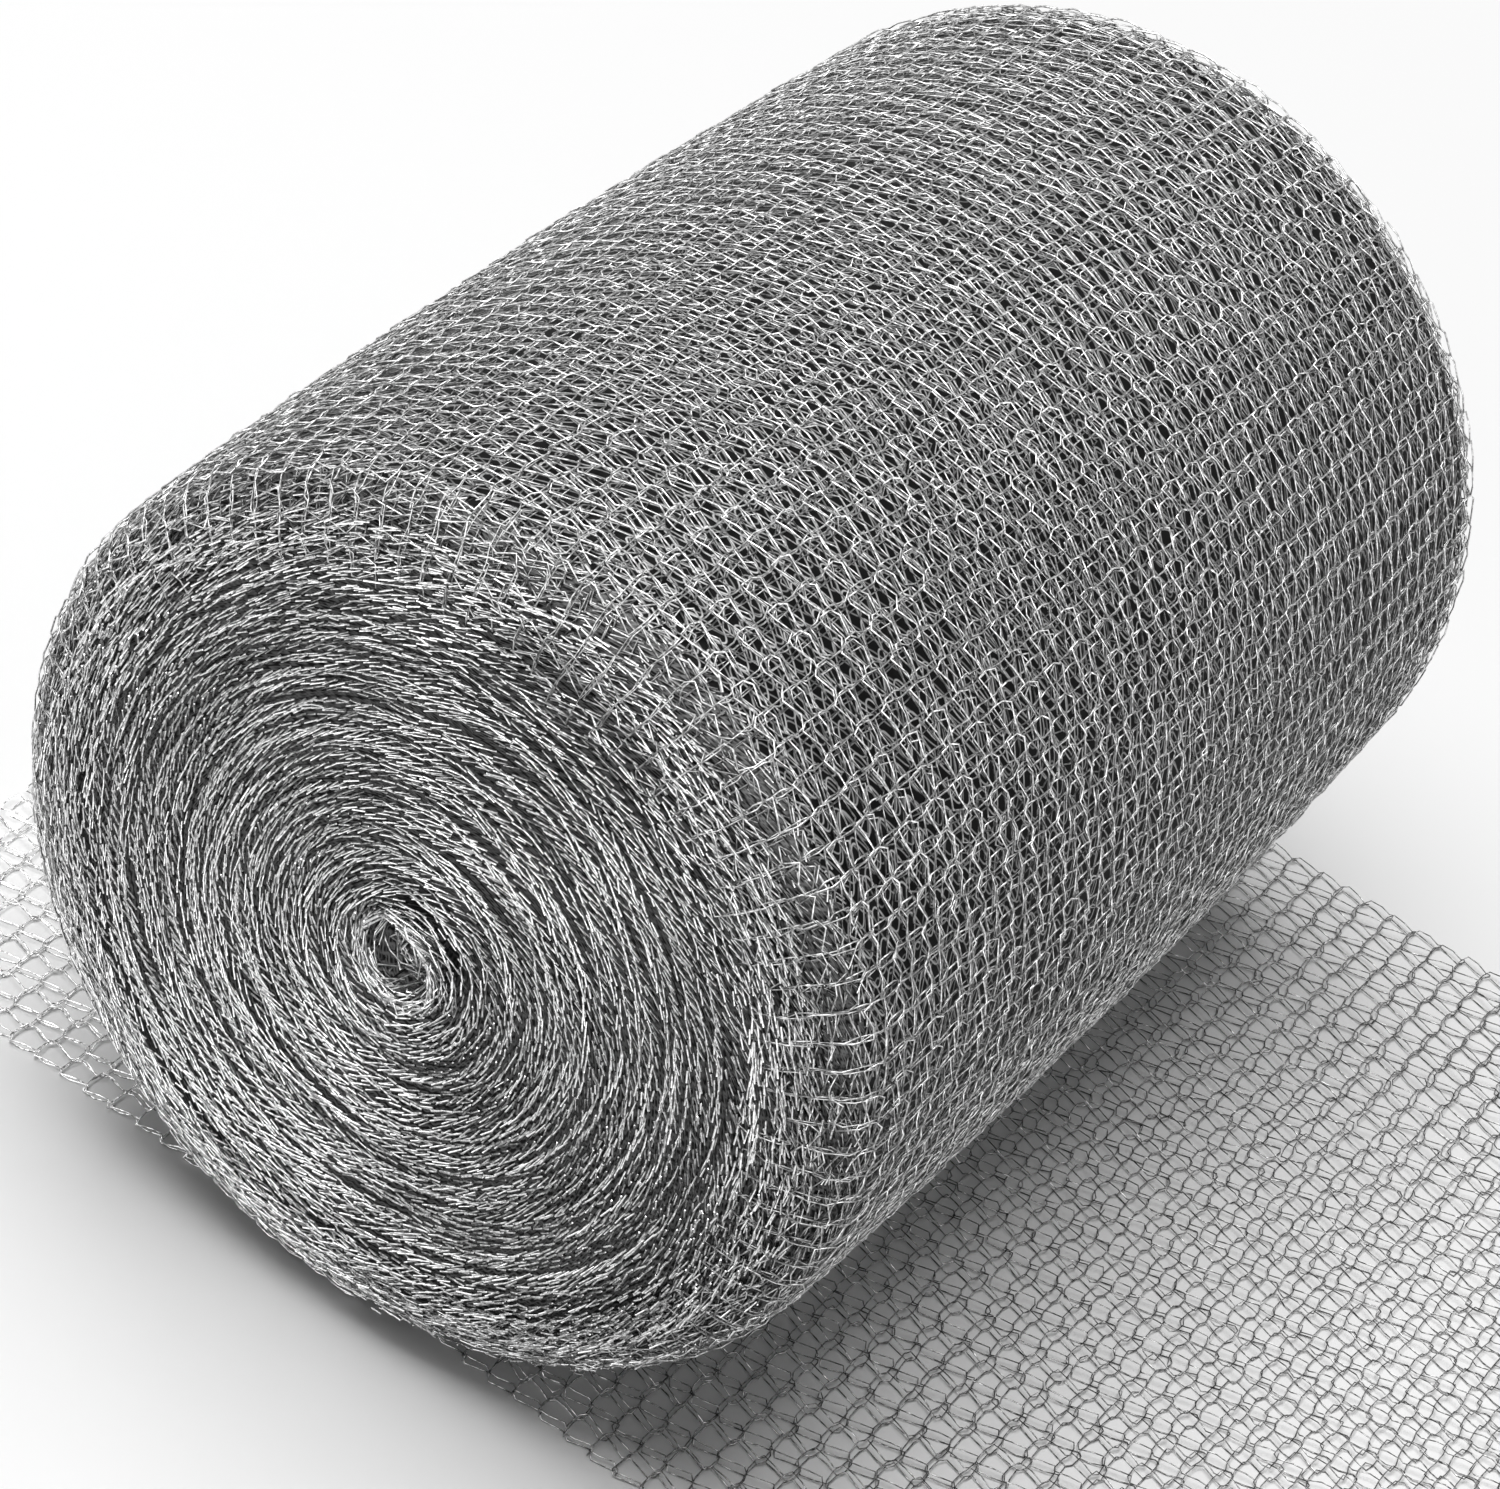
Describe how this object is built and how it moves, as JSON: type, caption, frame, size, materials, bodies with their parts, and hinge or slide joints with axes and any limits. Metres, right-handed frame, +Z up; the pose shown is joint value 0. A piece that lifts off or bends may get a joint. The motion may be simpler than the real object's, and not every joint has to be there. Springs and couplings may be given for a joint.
{
  "type": "knitted wire mesh roll",
  "caption": "Soft roll of knitted stainless wire mesh lying on its side on its own free end, which is drawn out flat along the floor; cut to length for packing, filtering and gap filling.",
  "frame": {"origin": "on the floor under the roll's axis, in the middle of the flat spot it rests on", "axes": "+Z up, +X along the longer side of the free end, Y along the roll's axis"},
  "size_m": [0.179, 0.1344, 0.0916],
  "materials": {
    "steel_wire": "bright drawn wire, knitted"
  },
  "bodies": {
    "root": {"knitted_mesh_roll": "steel_wire"}
  },
  "joints": []
}
